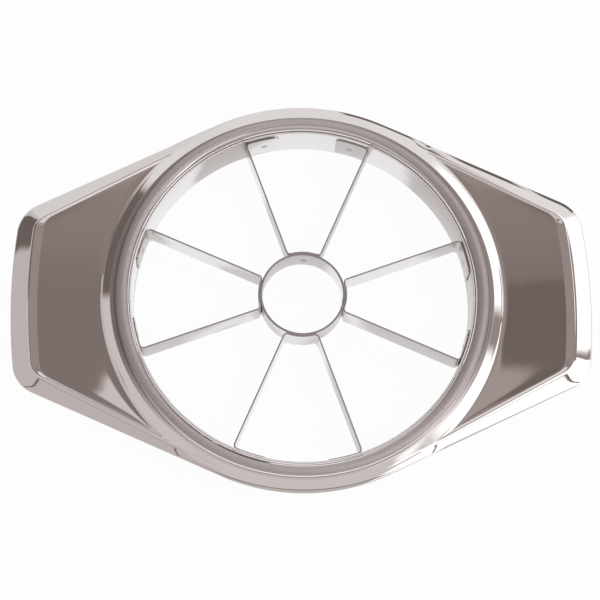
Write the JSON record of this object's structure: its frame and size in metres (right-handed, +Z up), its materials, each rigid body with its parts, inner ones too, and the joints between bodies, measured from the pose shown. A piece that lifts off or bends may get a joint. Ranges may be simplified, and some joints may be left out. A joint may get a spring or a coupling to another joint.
{
  "type": "apple slicer",
  "caption": "Hand press that cuts an apple into wedges and a core: pressed steel frame with sunk grips round a band of radial blades.",
  "frame": {"origin": "centre of the ring, level with the band's lower edge on which the slicer stands", "axes": "+Z up, along the ring's axis and away from the cutting edges; +X along both handles"},
  "size_m": [0.1708, 0.118, 0.0149],
  "materials": {
    "polished_sheet": "mirror-polished stainless steel with fine handling scratches",
    "band_steel": "bright rolled stainless steel strip",
    "blade_steel": "satin blade strip with a ground cutting bevel",
    "weld_steel": "dull flattened spot-weld marks"
  },
  "bodies": {
    "root": {"frame": "polished_sheet", "blade_band": "band_steel", "core_ring": "blade_steel", "blade_strip_right": "blade_steel", "blade_strip_back": "blade_steel", "blade_strip_left": "blade_steel", "blade_strip_front": "blade_steel", "foot_welds": "weld_steel", "core_welds": "weld_steel"}
  },
  "joints": []
}
